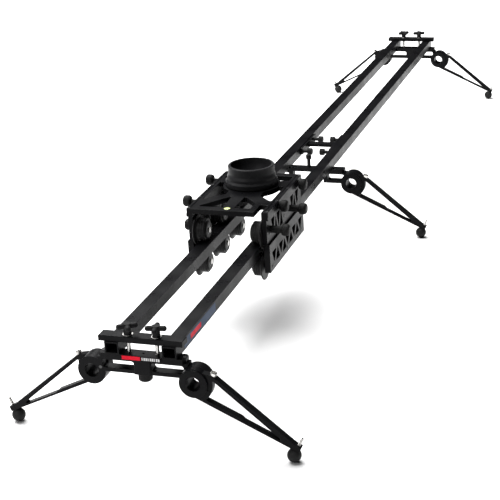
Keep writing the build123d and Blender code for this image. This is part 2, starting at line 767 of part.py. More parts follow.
def make_wheel(x, z, tread_radius, flange_radius, side):
    """Flanged wheel: hub and bearing seat inside, grooved tread, flange down the rail's outer side."""
    tread_start = wheel_inner_y + wheel_hub_length
    flange_start = wheel_outer_y - flange_width
    tread_end = rail_outer_y + tread_groove / 2
    bore = axle_radius + running_gap
    grooves = []
    for share in (0.3, 0.6):
        y = tread_start + (tread_end - tread_start) * share
        grooves += [(y - tread_groove, tread_radius), (y, tread_radius - tread_groove),
                    (y + tread_groove, tread_radius)]
    with BuildPart() as wheel:
        with BuildSketch(side_plane(x, 0, z, side)):
            with BuildLine():
                Polyline((wheel_inner_y + bearing_recess, bore),
                         (wheel_inner_y + bearing_recess, bearing_radius),
                         (wheel_inner_y, bearing_radius), (wheel_inner_y, wheel_hub_radius - 1),
                         (wheel_inner_y + 1, wheel_hub_radius), (tread_start - 1, wheel_hub_radius + 2),
                         (tread_start - 1, tread_radius - 1.5), (tread_start + 0.5, tread_radius), *grooves,
                         (tread_end, tread_radius), (flange_start, tread_radius + 2),
                         (flange_start + 1.5, flange_radius - 1), (flange_start + 2.5, flange_radius),
                         (wheel_outer_y - 1, flange_radius), (wheel_outer_y, flange_radius - 1),
                         (wheel_outer_y, bore), close=True)
            make_face()
        revolve(axis=Axis((x, 0, z), (0, 1, 0)))
    return wheel.part


wheel_rows = {
    "upper": (upper_axle_z, upper_tread_radius, upper_flange_radius),
    "lower": (lower_axle_z, lower_tread_radius, lower_flange_radius),
}
for row, sizes in wheel_rows.items():
    for side_name, side in sides.items():
        for place, x in wheel_places.items():
            wheel = make_wheel(x, *sizes, side)
            wheel.label = f"{row}_wheel_{side_name}_{place}"
            export_step(wheel, f"parts/{wheel.label}.step")


def truck_knob(x, face_y, z, side, reach, radius, collar_radius, stud):
    """Round thumb knob on a collar, with a stud that runs into the carriage."""
    with BuildPart() as knob:
        face = across(x, side * (face_y + body_gap), z, side)
        pinned(face.offset(reach), radius, truck_knob_length)
        fillet(round_edges(knob, radius), truck_knob_length / 3.2)
        pinned(face, collar_radius, reach)
        pinned(face, stud_radius, -stud)
    return knob.part


for side_name, side in sides.items():
    for place in ("front", "rear"):
        upper_knob = truck_knob(upper_knob_x[place], platform_half_width, upper_knob_z, side,
                                knob_reach["upper", side_name], truck_knob_radius, 4.5, knob_stud - 1)
        upper_knob.label = f"platform_knob_{side_name}_{place}"
        export_step(upper_knob, f"parts/{upper_knob.label}.step")
        lower_knob = truck_knob(lower_knob_x[place], plate_outer_y, lower_knob_z, side,
                                knob_reach["lower", side_name], lower_knob_radius, 8.5, plate_thickness)
        lower_knob.label = f"truck_knob_{side_name}_{place}"
        export_step(lower_knob, f"parts/{lower_knob.label}.step")
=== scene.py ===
"""Finishes and fine detail for a two-rail camera slider, built round its CAD frame."""

import json
import logging
import math
from dataclasses import dataclass, field
from enum import Enum
from typing import Callable, Iterable, Sequence

import bmesh
import bpy
from mathutils import Euler, Matrix, Vector


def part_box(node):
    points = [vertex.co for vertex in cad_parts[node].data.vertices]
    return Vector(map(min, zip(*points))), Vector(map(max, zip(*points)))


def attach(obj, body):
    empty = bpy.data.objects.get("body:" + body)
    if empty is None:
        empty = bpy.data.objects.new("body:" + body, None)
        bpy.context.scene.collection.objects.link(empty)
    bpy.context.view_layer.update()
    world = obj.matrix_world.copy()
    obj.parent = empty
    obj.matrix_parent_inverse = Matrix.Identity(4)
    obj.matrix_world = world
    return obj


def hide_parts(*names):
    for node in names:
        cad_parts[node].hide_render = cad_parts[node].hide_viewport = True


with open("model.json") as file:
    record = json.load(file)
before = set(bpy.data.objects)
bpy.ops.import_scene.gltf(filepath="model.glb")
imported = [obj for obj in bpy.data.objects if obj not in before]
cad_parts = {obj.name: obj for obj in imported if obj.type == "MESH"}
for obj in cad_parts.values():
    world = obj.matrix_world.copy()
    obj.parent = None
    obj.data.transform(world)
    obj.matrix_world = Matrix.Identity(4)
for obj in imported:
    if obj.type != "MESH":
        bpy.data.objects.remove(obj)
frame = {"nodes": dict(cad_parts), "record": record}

log = logging.getLogger("slider")

Point = tuple[float, float, float]
Colour = tuple[float, float, float]


class Side(Enum):
    """The two long sides of the slider, with the sign of Y on each."""

    LEFT = 1
    RIGHT = -1

    @property
    def word(self) -> str:
        """The side's name as node names write it."""
        return self.name.lower()


class Axis(Enum):
    """Directions in the slider's own frame."""

    ALONG = (1.0, 0.0, 0.0)
    ACROSS = (0.0, 1.0, 0.0)
    UP = (0.0, 0.0, 1.0)

    def vector(self, sign: float = 1.0) -> Vector:
        """The direction as a vector, turned round where the sign is negative."""
        return Vector(self.value) * sign


class Station(Enum):
    """The three brackets along the rails, by the word that node names use."""

    FRONT = "front"
    CENTRE = "centre"
    REAR = "rear"


# ---------------------------------------------------------------- boxes of CAD nodes


@dataclass(frozen=True)
class Box:
    """A CAD node's box at rest."""

    low: Vector
    high: Vector

    @classmethod
    def of(cls, node: str) -> "Box":
        """Reads a node's box.

        Args:
            node: the CAD node's name.

        Returns:
            Its box in the slider's frame, in metres.
        """
        low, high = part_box(node)
        return cls(Vector(low), Vector(high))

    @property
    def middle(self) -> Vector:
        """Centre of the box."""
        return (self.low + self.high) / 2

    @property
    def size(self) -> Vector:
        """Edge lengths of the box."""
        return self.high - self.low


# ---------------------------------------------------------------- meshes


def add_object(name: str, mesh: bpy.types.Mesh, *finishes: bpy.types.Material) -> bpy.types.Object:
    """Puts a mesh in the scene with its finishes.

    Args:
        name: the new piece's name.
        mesh: the mesh, already in its place.
        finishes: the finishes, in the order of the faces' places.

    Returns:
        The new object, at the origin.
    """
    if len(mesh.materials):
        mesh.materials.clear()
    for finish in finishes:
        mesh.materials.append(finish)
    piece = bpy.data.objects.new(name, mesh)
    bpy.context.scene.collection.objects.link(piece)
    return piece


def placing(origin: Vector, axis: Vector) -> Matrix:
    """Matrix that stands a mesh drawn round +Z on a point, along an axis.

    Args:
        origin: where the mesh's own origin goes.
        axis: where its +Z goes.

    Returns:
        The matrix.
    """
    turn = Vector((0, 0, 1)).rotation_difference(axis.normalized())
    return Matrix.Translation(origin) @ turn.to_matrix().to_4x4()


def lathe(
    profile: Sequence[tuple[float, float]],
    turns: int = 48,
    swell: Callable[[float, float], float] | None = None,
    smooth: bool = True,
) -> bpy.types.Mesh:
    """Turns a closed or pole-to-pole profile round Z.

    Args:
        profile: radius and height of each point, from the bottom pole round the outside.
        turns: how many steps there are in a full turn.
        swell: what the radius is multiplied by at an angle and a height.
        smooth: whether faces are shaded smooth.

    Returns:
        A closed mesh with its faces outwards.
    """
    work = bmesh.new()
    rings = []
    for radius, height in profile:
        if radius < 1e-7:
            rings.append([work.verts.new((0, 0, height))])
            continue
        ring = []
        for step in range(turns):
            angle = math.tau * step / turns
            reach = radius * (swell(angle, height) if swell else 1.0)
            ring.append(work.verts.new((reach * math.cos(angle), reach * math.sin(angle), height)))
        rings.append(ring)
    pairs = list(zip(rings, rings[1:]))
    if len(rings[0]) > 1:
        pairs.append((rings[-1], rings[0]))
    for lower, upper in pairs:
        for step in range(turns):
            after = (step + 1) % turns
            corners = [lower[step % len(lower)], lower[after % len(lower)],
                       upper[after % len(upper)], upper[step % len(upper)]]
            unique = list(dict.fromkeys(corners))
            if len(unique) > 2:
                work.faces.new(unique)
    bmesh.ops.recalc_face_normals(work, faces=work.faces)
    mesh = bpy.data.meshes.new("lathe")
    work.to_mesh(mesh)
    work.free()
    if smooth:
        mesh.shade_smooth()
        mesh.set_sharp_from_angle(angle=math.radians(32))
    return mesh


def slab(low: Vector, high: Vector, corner: float = 0.0, steps: int = 2) -> bpy.types.Mesh:
    """Block between two corners with rounded edges.

    Args:
        low: lowest corner.
        high: highest corner.
        corner: radius of the edges.
        steps: faces across each rounded edge.

    Returns:
        A closed mesh.
    """
    work = bmesh.new()
    bmesh.ops.create_cube(work, size=1.0)
    bmesh.ops.scale(work, vec=high - low, verts=work.verts)
    bmesh.ops.translate(work, vec=(low + high) / 2, verts=work.verts)
    if corner:
        bmesh.ops.bevel(work, geom=work.edges[:], offset=corner, segments=steps, affect="EDGES",
                        profile=0.5)
    mesh = bpy.data.meshes.new("slab")
    work.to_mesh(mesh)
    work.free()
    return mesh


def joined(meshes: Iterable[bpy.types.Mesh]) -> bpy.types.Mesh:
    """Puts several meshes in one.

    Args:
        meshes: the meshes, each in its place.

    Returns:
        One mesh with all their faces.
    """
    work = bmesh.new()
    for mesh in meshes:
        work.from_mesh(mesh)
        bpy.data.meshes.remove(mesh)
    whole = bpy.data.meshes.new("joined")
    work.to_mesh(whole)
    work.free()
    return whole


def moved(mesh: bpy.types.Mesh, matrix: Matrix) -> bpy.types.Mesh:
    """The mesh after a matrix has been applied to its points."""
    mesh.transform(matrix)
    return mesh


# ---------------------------------------------------------------- node trees


class Tree:
    """Short way to write a node tree."""

    def __init__(self, nodes: bpy.types.NodeTree) -> None:
        """Wraps a node tree."""
        self.nodes = nodes

    def add(self, kind: str, **values: object) -> bpy.types.Node:
        """Adds a node.

        Args:
            kind: the node's type name.
            values: attributes to set, or inputs by name with spaces as underscores.

        Returns:
            The node.
        """
        node = self.nodes.nodes.new(kind)
        for key, value in values.items():
            if hasattr(node, key):
                setattr(node, key, value)
            else:
                self.feed(node, key.replace("_", " "), value)
        return node

    def feed(self, node: bpy.types.Node, name: str | int, value: object) -> None:
        """Links a socket into an input, or sets the input's own value."""
        if isinstance(value, bpy.types.NodeSocket):
            self.nodes.links.new(value, node.inputs[name])
        else:
            node.inputs[name].default_value = value

    def maths(self, operation: str, *terms: object) -> bpy.types.NodeSocket:
        """Adds a maths node.

        Args:
            operation: the sum it does.
            terms: sockets or numbers.

        Returns:
            Its result.
        """
        node = self.nodes.nodes.new("ShaderNodeMath")
        node.operation = operation
        for place, term in enumerate(terms):
            self.feed(node, place, term)
        return node.outputs[0]

    def ramp(self, value: bpy.types.NodeSocket, low: float, high: float) -> bpy.types.NodeSocket:
        """Stretches a value so that low gives 0 and high gives 1, with a soft start and end."""
        node = self.add("ShaderNodeMapRange", interpolation_type="SMOOTHSTEP")
        self.feed(node, "Value", value)
        self.feed(node, "From Min", low)
        self.feed(node, "From Max", high)
        return node.outputs["Result"]


def new_group(
    name: str, inputs: dict[str, float], outputs: dict[str, str]
) -> tuple[Tree, bpy.types.Node, bpy.types.Node]:
    """Starts a shader node group.

    Args:
        name: the group's name.
        inputs: number inputs and their usual values.
        outputs: outputs and their socket types.

    Returns:
        The tree, its input node and its output node.
    """
    nodes = bpy.data.node_groups.new(name, "ShaderNodeTree")
    for label, value in inputs.items():
        socket = nodes.interface.new_socket(name=label, in_out="INPUT", socket_type="NodeSocketFloat")
        socket.default_value = value
    for label, kind in outputs.items():
        nodes.interface.new_socket(name=label, in_out="OUTPUT", socket_type=kind)
    tree = Tree(nodes)
    return tree, tree.add("NodeGroupInput"), tree.add("NodeGroupOutput")


def grain_group() -> bpy.types.NodeTree:
    """Fine blasted grain with slow patches of tone.

    Returns:
        A group with Scale and Patch inputs, and Height and Tone outputs.
    """
    tree, given, made = new_group(
        "blasted_grain", {"Scale": 2200.0, "Patch": 14.0},
        {"Height": "NodeSocketFloat", "Tone": "NodeSocketFloat"})
    place = tree.add("ShaderNodeTexCoord").outputs["Object"]
    fine = tree.add("ShaderNodeTexNoise", Vector=place, Scale=given.outputs["Scale"], Detail=3.0)
    slow = tree.add("ShaderNodeTexNoise", Vector=place, Scale=given.outputs["Patch"], Detail=4.0)
    tree.feed(made, "Height", fine.outputs["Fac"])
    tree.feed(made, "Tone", tree.ramp(slow.outputs["Fac"], 0.3, 0.7))
    return tree.nodes


def edge_group() -> bpy.types.NodeTree:
    """Softened edges and the rubbed line along them.

    Returns:
        A group with Width and Wear inputs, and Normal and Rub outputs.
    """
    tree, given, made = new_group(
        "rubbed_edges", {"Width": 0.0006, "Wear": 0.5},
        {"Normal": "NodeSocketVector", "Rub": "NodeSocketFloat"})
    soft = tree.add("ShaderNodeBevel", samples=4, Radius=given.outputs["Width"])
    flat = tree.add("ShaderNodeNewGeometry")
    match = tree.add("ShaderNodeVectorMath", operation="DOT_PRODUCT")
    tree.feed(match, 0, soft.outputs["Normal"])
    tree.feed(match, 1, flat.outputs["Normal"])
    turn = tree.ramp(match.outputs["Value"], 0.995, 0.85)
    place = tree.add("ShaderNodeTexCoord").outputs["Object"]
    patch = tree.add("ShaderNodeTexNoise", Vector=place, Scale=60.0, Detail=5.0)
    broken = tree.ramp(patch.outputs["Fac"], 0.4, 0.62)
    worn = tree.maths("MULTIPLY", tree.maths("MULTIPLY", turn, broken), given.outputs["Wear"])
    tree.feed(made, "Normal", soft.outputs["Normal"])
    tree.feed(made, "Rub", worn)
    return tree.nodes


def drawn_group() -> bpy.types.NodeTree:
    """Faint lines along the slider, as extruded stock has.

    Returns:
        A group with a Scale input, and Height and Tone outputs.
    """
    tree, given, made = new_group(
        "drawn_lines", {"Scale": 900.0}, {"Height": "NodeSocketFloat", "Tone": "NodeSocketFloat"})
    place = tree.add("ShaderNodeTexCoord").outputs["Object"]
    stretch = tree.add("ShaderNodeVectorMath", operation="MULTIPLY")
    tree.feed(stretch, 0, place)
    tree.feed(stretch, 1, (0.004, 1.0, 1.0))
    lines = tree.add("ShaderNodeTexNoise", Vector=stretch.outputs[0], Scale=given.outputs["Scale"],
                     Detail=2.0)
    tree.feed(made, "Height", lines.outputs["Fac"])
    tree.feed(made, "Tone", tree.ramp(lines.outputs["Fac"], 0.35, 0.65))
    return tree.nodes


def turned_group() -> bpy.types.NodeTree:
    """Fine rings left by a lathe, round an upright axis through the group's X.

    Returns:
        A group with Centre and Pitch inputs, and a Height output.
    """
    tree, given, made = new_group(
        "turned_rings", {"Centre": 0.0, "Pitch": 0.0006}, {"Height": "NodeSocketFloat"})
    place = tree.add("ShaderNodeTexCoord").outputs["Object"]
    split = tree.add("ShaderNodeSeparateXYZ", Vector=place)
    east = tree.maths("SUBTRACT", split.outputs["X"], given.outputs["Centre"])
    reach = tree.maths("SQRT", tree.maths("ADD", tree.maths("MULTIPLY", east, east),
                                          tree.maths("MULTIPLY", split.outputs["Y"], split.outputs["Y"])))
    path = tree.maths("ADD", reach, split.outputs["Z"])
    turns = tree.maths("DIVIDE", tree.maths("MULTIPLY", path, math.tau), given.outputs["Pitch"])
    wave = tree.maths("SINE", turns)
    tree.feed(made, "Height", tree.maths("MULTIPLY_ADD", wave, 0.5, 0.5))
    return tree.nodes


class SharedEffects:
    """Surface effects that several finishes use, each built once."""

    def __init__(self) -> None:
        """Builds the groups."""
        self.grain = grain_group()
        self.edge = edge_group()
        self.drawn = drawn_group()
        self.turned = turned_group()


def effect(tree: Tree, group: bpy.types.NodeTree, **values: float) -> bpy.types.Node:
    """Places a shared effect in a material.

    Args:
        tree: the material's tree.
        group: the effect's group.
        values: the effect's inputs by name.

    Returns:
        The group's node.
    """
    node = tree.add("ShaderNodeGroup", node_tree=group)
    for name, value in values.items():
        tree.feed(node, name, value)
    return node


# ---------------------------------------------------------------- finishes


@dataclass(frozen=True)
class Finish:
    """What every finish has: a name, its colour and how it is worn."""

    name: str
    colour: Colour
    tone: Colour
    roughness: float = 0.4
    metallic: float = 0.0
    wear: float = 0.4
    edge_width: float = 0.0006
    grain: float = 2200.0
    grain_depth: float = 0.00002
    rub_colour: Colour = (0.09, 0.09, 0.095)
    shine: float = 0.06

    def start(self) -> tuple[bpy.types.Material, Tree, bpy.types.Node]:
        """Starts the material.

        Returns:
            The material, its tree and its Principled shader.
        """
        material = bpy.data.materials.new(self.name)
        material.use_nodes = True
        material.node_tree.nodes.clear()
        tree = Tree(material.node_tree)
        shader = tree.add("ShaderNodeBsdfPrincipled", Roughness=self.roughness, Metallic=self.metallic)
        shader.inputs["Specular IOR Level"].default_value = self.shine
        out = tree.add("ShaderNodeOutputMaterial")
        tree.feed(out, "Surface", shader.outputs["BSDF"])
        return material, tree, shader

    def mixed(
        self, tree: Tree, share: bpy.types.NodeSocket, first: object, second: object
    ) -> bpy.types.NodeSocket:
        """Mixes two colours.

        Args:
            tree: the material's tree.
            share: how much of the second colour there is.
            first: a colour or a colour socket.
            second: a colour or a colour socket.

        Returns:
            The mixed colour.
        """
        node = tree.add("ShaderNodeMix", data_type="RGBA")
        tree.feed(node, 0, share)
        for place, colour in ((6, first), (7, second)):
            tree.feed(node, place, (*colour, 1.0) if isinstance(colour, tuple) else colour)
        return node.outputs[2]

    def surface(self, effects: SharedEffects, height: Callable[[Tree], bpy.types.NodeSocket] | None = None,
                depth: float = 0.0) -> bpy.types.Material:
        """Grain, patches of tone and rubbed edges, with one more relief where asked.

        Args:
            effects: the shared groups.
            height: adds the relief's nodes and gives its height.
            depth: how deep that relief is, in metres.

        Returns:
            The finished material.
        """
        material, tree, shader = self.start()
        grain = effect(tree, effects.grain, Scale=self.grain)
        edge = effect(tree, effects.edge, Width=self.edge_width, Wear=self.wear)
        body = self.mixed(tree, grain.outputs["Tone"], self.colour, self.tone)
        tree.feed(shader, "Base Color", self.mixed(tree, edge.outputs["Rub"], body, self.rub_colour))
        rough = tree.add("ShaderNodeMapRange")
        tree.feed(rough, "Value", grain.outputs["Tone"])
        tree.feed(rough, "To Min", self.roughness - 0.05)
        tree.feed(rough, "To Max", self.roughness + 0.06)
        tree.feed(shader, "Roughness", rough.outputs["Result"])
        normal = edge.outputs["Normal"]
        if height:
            relief = tree.add("ShaderNodeBump", Distance=depth, Strength=1.0, Normal=normal,
                              Height=height(tree))
            normal = relief.outputs["Normal"]
        bump = tree.add("ShaderNodeBump", Distance=self.grain_depth, Strength=1.0, Normal=normal,
                        Height=grain.outputs["Height"])
        tree.feed(shader, "Normal", bump.outputs["Normal"])
        return material


@dataclass(frozen=True)
class BlastedFinish(Finish):
    """Anodised metal with a blasted surface, or moulded plastic."""

    def build(self, effects: SharedEffects) -> bpy.types.Material:
        """Builds the material from the shared groups."""
        return self.surface(effects)


@dataclass(frozen=True)
class DrawnFinish(Finish):
    """Anodised extrusion with faint lines along it."""

    line_depth: float = 0.00002

    def build(self, effects: SharedEffects) -> bpy.types.Material:
        """Builds the material from the shared groups."""
        return self.surface(effects, lambda tree: effect(tree, effects.drawn).outputs["Height"],
                            self.line_depth)


@dataclass(frozen=True)
class TurnedFinish(Finish):
    """Metal turned round an upright axis."""

    centre: float = 0.0
    pitch: float = 0.0006
    ring_depth: float = 0.00003

    def build(self, effects: SharedEffects) -> bpy.types.Material:
        """Builds the material from the shared groups."""
        def rings(tree: Tree) -> bpy.types.NodeSocket:
            """Height of the lathe's rings."""
            return effect(tree, effects.turned, Centre=self.centre, Pitch=self.pitch).outputs["Height"]

        return self.surface(effects, rings, self.ring_depth)


@dataclass(frozen=True)
class LiquidFinish(Finish):
    """Pale liquid under a clear cover, with fine patches of tone."""

    def build(self, effects: SharedEffects) -> bpy.types.Material:
        """Builds the material from the shared groups."""
        material, tree, shader = self.start()
        grain = effect(tree, effects.grain, Patch=220.0)
        tree.feed(shader, "Base Color", self.mixed(tree, grain.outputs["Tone"], self.colour, self.tone))
        shader.inputs["Coat Weight"].default_value = 1.0
        shader.inputs["Coat Roughness"].default_value = 0.03
        return material


class Finishes:
    """Every finish of the slider, built once."""

    def __init__(self, bowl_x: float) -> None:
        """Builds the materials.

        Args:
            bowl_x: where the bowl's axis stands along the slider.
        """
        effects = SharedEffects()
        self.rail = DrawnFinish("rail_black", (0.003, 0.003, 0.0035), (0.005, 0.005, 0.0055), 0.30,
                                wear=0.25).build(effects)
        self.bracket = BlastedFinish("bracket_black", (0.003, 0.003, 0.0035), (0.006, 0.006, 0.0065), 0.34,
                                     wear=0.35).build(effects)
        self.carriage = BlastedFinish("carriage_black", (0.003, 0.003, 0.0035), (0.006, 0.006, 0.0065),
                                      0.32,
                                      wear=0.4).build(effects)
        self.leg = BlastedFinish("leg_black", (0.003, 0.003, 0.0035), (0.005, 0.005, 0.0055), 0.32,
                                 wear=0.3).build(effects)
        self.bowl = TurnedFinish("turned_black", (0.014, 0.014, 0.015), (0.02, 0.02, 0.021), 0.36,
                                 wear=0.3, centre=bowl_x).build(effects)
        self.plastic = BlastedFinish("moulded_black", (0.01, 0.01, 0.01), (0.016, 0.016, 0.016), 0.46,
                                     wear=0.1, grain=1500.0, grain_depth=0.00003).build(effects)
        self.wheel = BlastedFinish("wheel_black", (0.012, 0.012, 0.012), (0.02, 0.02, 0.02), 0.34,
                                   wear=0.15).build(effects)
        self.rubber = BlastedFinish("foot_rubber", (0.012, 0.012, 0.012), (0.02, 0.02, 0.02), 0.42,
                                    wear=0.0, grain=1200.0, grain_depth=0.00004).build(effects)
        self.steel = BlastedFinish("plain_steel", (0.62, 0.61, 0.59), (0.5, 0.49, 0.47), 0.28, 1.0,
                                   shine=0.5,
                                   wear=0.3, edge_width=0.0003, rub_colour=(0.8, 0.8, 0.78)).build(effects)
        self.dark_steel = BlastedFinish("dark_steel", (0.12, 0.12, 0.12), (0.08, 0.08, 0.08), 0.4, 0.8,
                                          wear=0.5).build(effects)
        self.red = BlastedFinish("mark_red", (0.78, 0.012, 0.035), (0.66, 0.009, 0.026), 0.4,
                                 wear=0.0).build(effects)
        self.white = BlastedFinish("mark_white", (0.7, 0.7, 0.7), (0.6, 0.6, 0.6), 0.4,
                                   wear=0.0).build(effects)
        self.slate = BlastedFinish("sticker_slate", (0.075, 0.1, 0.16), (0.055, 0.08, 0.13), 0.45,
                                   wear=0.0).build(effects)
        self.liquid = LiquidFinish("level_liquid", (0.82, 0.92, 0.42), (0.76, 0.88, 0.36),
                                   0.2).build(effects)
        self.floor = BlastedFinish("floor_pale", (0.9, 0.9, 0.9), (0.88, 0.88, 0.88), 0.9, wear=0.0,
                                   shine=0.1,
                                   grain=40.0).build(effects)


# ---------------------------------------------------------------- geometry nodes


class Shape:
    """A geometry node tree with named inputs, and the plain mesh it makes."""

    def __init__(self, name: str, inputs: dict[str, str]) -> None:
        """Starts the tree.

        Args:
            name: the tree's name.
            inputs: input names and their socket types.
        """
        self.nodes = bpy.data.node_groups.new(name, "GeometryNodeTree")
        self.nodes.is_modifier = True
        self.sockets: dict[str, str] = {}
        self.nodes.interface.new_socket(name="Base", in_out="INPUT", socket_type="NodeSocketGeometry")
        for label, kind in {**inputs, "Finish": "NodeSocketMaterial"}.items():
            socket = self.nodes.interface.new_socket(name=label, in_out="INPUT", socket_type=kind)
            self.sockets[label] = socket.identifier
        self.nodes.interface.new_socket(name="Made", in_out="OUTPUT", socket_type="NodeSocketGeometry")
        self.tree = Tree(self.nodes)
        self.given = self.tree.add("NodeGroupInput")

    def end(self, made: bpy.types.NodeSocket) -> None:
        """Ends the tree: instances become real faces and take the finish."""
        real = self.tree.add("GeometryNodeRealizeInstances")
        self.tree.feed(real, 0, made)
        dressed = self.tree.add("GeometryNodeSetMaterial")
        self.tree.feed(dressed, "Geometry", real.outputs[0])
        self.tree.feed(dressed, "Material", self.given.outputs["Finish"])
        out = self.tree.add("NodeGroupOutput")
        self.tree.feed(out, 0, dressed.outputs[0])

    def make(self, base: bpy.types.Mesh | None = None, **values: object) -> bpy.types.Mesh:
        """Runs the tree once.

        Args:
            base: the mesh that the tree starts from, where it needs one.
            values: the tree's inputs by name, with spaces as underscores.

        Returns:
            A plain mesh.
        """
        mesh = base or bpy.data.meshes.new("base")
        carrier = bpy.data.objects.new("carrier", mesh)
        bpy.context.scene.collection.objects.link(carrier)
        modifier = carrier.modifiers.new("shape", "NODES")
        modifier.node_group = self.nodes
        for label, value in values.items():
            modifier[self.sockets[label.replace("_", " ")]] = value
        depsgraph = bpy.context.evaluated_depsgraph_get()
        made = bpy.data.meshes.new_from_object(carrier.evaluated_get(depsgraph), depsgraph=depsgraph)
        carrier.modifiers.remove(modifier)
        bpy.data.objects.remove(carrier)
        bpy.data.meshes.remove(mesh)
        return made


def rib_shape() -> Shape:
    """Ribs round a grip: one straight bar repeated round a circle.

    Returns:
        A shape with Count, Radius, Rib and Length inputs.
    """
    shape = Shape("grip_ribs", {"Count": "NodeSocketInt", "Radius": "NodeSocketFloat",
                                "Rib": "NodeSocketFloat", "Length": "NodeSocketFloat"})
    tree, given = shape.tree, shape.given.outputs
    ring = tree.add("GeometryNodeMeshCircle")
    tree.feed(ring, "Vertices", given["Count"])
    tree.feed(ring, "Radius", given["Radius"])
    bar = tree.add("GeometryNodeMeshCylinder")
    bar.inputs["Vertices"].default_value = 6
    tree.feed(bar, "Radius", given["Rib"])
    tree.feed(bar, "Depth", given["Length"])
    spread = tree.add("GeometryNodeInstanceOnPoints")
    tree.feed(spread, "Points", ring.outputs["Mesh"])
    tree.feed(spread, "Instance", bar.outputs["Mesh"])
    shape.end(spread.outputs["Instances"])
    return shape


def thread_shape() -> Shape:
    """Screw thread: a ridge that climbs round a shaft.

    Returns:
        A shape with Radius, Pitch, Length and Ridge inputs.
    """
    shape = Shape("screw_thread", {"Radius": "NodeSocketFloat", "Pitch": "NodeSocketFloat",
                                   "Length": "NodeSocketFloat", "Ridge": "NodeSocketFloat"})
    tree, given = shape.tree, shape.given.outputs
    climb = tree.add("GeometryNodeCurveSpiral")
    climb.inputs["Resolution"].default_value = 14
    tree.feed(climb, "Rotations", tree.maths("DIVIDE", given["Length"], given["Pitch"]))
    tree.feed(climb, "Start Radius", given["Radius"])
    tree.feed(climb, "End Radius", given["Radius"])
    tree.feed(climb, "Height", given["Length"])
    ridge = tree.add("GeometryNodeCurvePrimitiveCircle")
    ridge.inputs["Resolution"].default_value = 4
    tree.feed(ridge, "Radius", given["Ridge"])
    body = tree.add("GeometryNodeCurveToMesh")
    tree.feed(body, "Curve", climb.outputs["Curve"])
    tree.feed(body, "Profile Curve", ridge.outputs["Curve"])
    body.inputs["Fill Caps"].default_value = True
    shape.end(body.outputs["Mesh"])
    return shape


def screw_shape() -> Shape:
    """Socket screw heads on the points of a base mesh, each facing its own way.

    Returns:
        A shape with Radius and Head inputs, on a base with a facing attribute.
    """
    shape = Shape("socket_heads", {"Radius": "NodeSocketFloat", "Head": "NodeSocketFloat"})
    tree, given = shape.tree, shape.given.outputs
    head = tree.add("GeometryNodeMeshCylinder")
    head.inputs["Vertices"].default_value = 18
    tree.feed(head, "Radius", given["Radius"])
    tree.feed(head, "Depth", given["Head"])
    rim = tree.add("GeometryNodeExtrudeMesh", mode="FACES")
    tree.feed(rim, "Mesh", head.outputs["Mesh"])
    tree.feed(rim, "Selection", head.outputs["Top"])
    rim.inputs["Offset Scale"].default_value = 0.0
    inset = tree.add("GeometryNodeScaleElements")
    tree.feed(inset, "Geometry", rim.outputs["Mesh"])
    tree.feed(inset, "Selection", rim.outputs["Top"])
    inset.inputs["Scale"].default_value = 0.55
    sink = tree.add("GeometryNodeExtrudeMesh", mode="FACES")
    tree.feed(sink, "Mesh", inset.outputs["Geometry"])
    tree.feed(sink, "Selection", rim.outputs["Top"])
    tree.feed(sink, "Offset Scale", tree.maths("MULTIPLY", given["Head"], -0.6))
    facing = tree.add("GeometryNodeInputNamedAttribute", data_type="FLOAT_VECTOR")
    facing.inputs["Name"].default_value = "facing"
    turn = tree.add("FunctionNodeAlignRotationToVector", axis="Z")
    tree.feed(turn, "Vector", facing.outputs["Attribute"])
    spread = tree.add("GeometryNodeInstanceOnPoints")
    tree.feed(spread, "Points", shape.given.outputs["Base"])
    tree.feed(spread, "Instance", sink.outputs["Mesh"])
    tree.feed(spread, "Rotation", turn.outputs["Rotation"])
    shape.end(spread.outputs["Instances"])
    return shape


def points_mesh(places: Sequence[tuple[Vector, Vector]]) -> bpy.types.Mesh:
    """Loose points, each with the way it faces.

    Args:
        places: a place and a facing for each point.

    Returns:
        A mesh of points with a facing attribute.
    """
    mesh = bpy.data.meshes.new("places")
    mesh.from_pydata([tuple(place) for place, _ in places], [], [])
    facing = mesh.attributes.new("facing", "FLOAT_VECTOR", "POINT")
    for entry, (_, way) in zip(facing.data, places):
        entry.vector = way
    return mesh


class Shapes:
    """Every geometry node tree of the slider, built once."""

    def __init__(self) -> None:
        """Builds the trees."""
        self.ribs = rib_shape()
        self.thread = thread_shape()
        self.screws = screw_shape()


# ---------------------------------------------------------------- pieces


@dataclass
class Workshop:
    """What every sub-assembly needs: the finishes, the node shapes and a list of what was made."""

    finishes: Finishes
    shapes: Shapes
    made: list[str] = field(default_factory=list)

    def fit(self, name: str, mesh: bpy.types.Mesh, finish: bpy.types.Material, body: str,
            stands_for: Sequence[str] = (), more: Sequence[bpy.types.Material] = ()) -> bpy.types.Object:
        """Adds a piece to a body.

        Args:
            name: the piece's name.
            mesh: its mesh, in its place.
            finish: its material.
            body: the CAD body it rides on.
            stands_for: CAD nodes that it replaces.
            more: further finishes, for faces that have a later place in the list.

        Returns:
            The piece.
        """
        piece = add_object(name, mesh, finish, *more)
        if stands_for:
            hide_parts(*stands_for)
        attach(piece, body)
        self.made.append(name)
        return piece

    def dress(self, nodes: Iterable[str], finish: bpy.types.Material) -> None:
        """Gives CAD nodes a finish."""
        for node in nodes:
            mesh = frame["nodes"][node].data
            mesh.materials.clear()
            mesh.materials.append(finish)


def bar(radius: float, length: float, base: Vector, axis: Vector, turns: int = 24) -> bpy.types.Mesh:
    """Round bar with a small chamfer at its far end.

    Args:
        radius: the bar's radius.
        length: its length.
        base: centre of its near end.
        axis: the way it runs.
        turns: steps round it.

    Returns:
        A closed mesh in its place.
    """
    cut = min(radius * 0.15, length * 0.2)
    profile = [(0.0, 0.0), (radius, 0.0), (radius, length - cut), (radius - cut, length), (0.0, length)]
    return moved(lathe(profile, turns), placing(base, axis))


